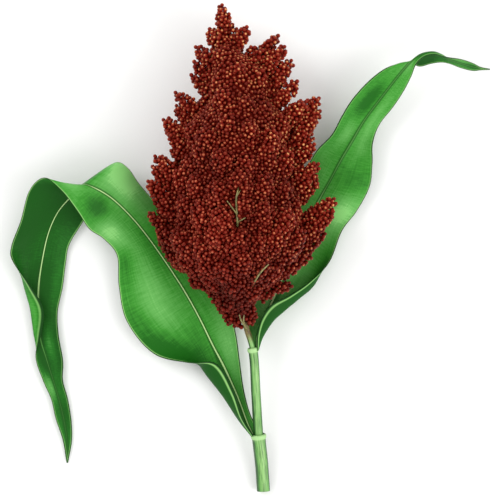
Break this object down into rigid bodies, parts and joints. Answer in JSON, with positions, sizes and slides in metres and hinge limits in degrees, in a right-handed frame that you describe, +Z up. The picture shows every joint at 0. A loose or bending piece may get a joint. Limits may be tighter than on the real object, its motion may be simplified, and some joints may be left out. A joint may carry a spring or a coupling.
{
  "type": "sorghum seed head",
  "caption": "Dense cut seed head of sorghum on a short stalk, with two curved leaf blades leaving their sheaths, lying down.",
  "frame": {"origin": "middle of the flat spot that the seed head lies on, at the height of the table", "axes": "+Y towards the tip of the seed head, +X to the right seen from above with the tip away, +Z up from the table"},
  "size_m": [0.4335, 0.4386, 0.114],
  "materials": {
    "grain": "satin",
    "stalk": "satin",
    "leaf": "satin"
  },
  "bodies": {
    "root": {"seed_head": "grain", "culm_and_branches": "stalk", "lower_leaf": "leaf", "upper_leaf": "leaf"}
  },
  "joints": []
}
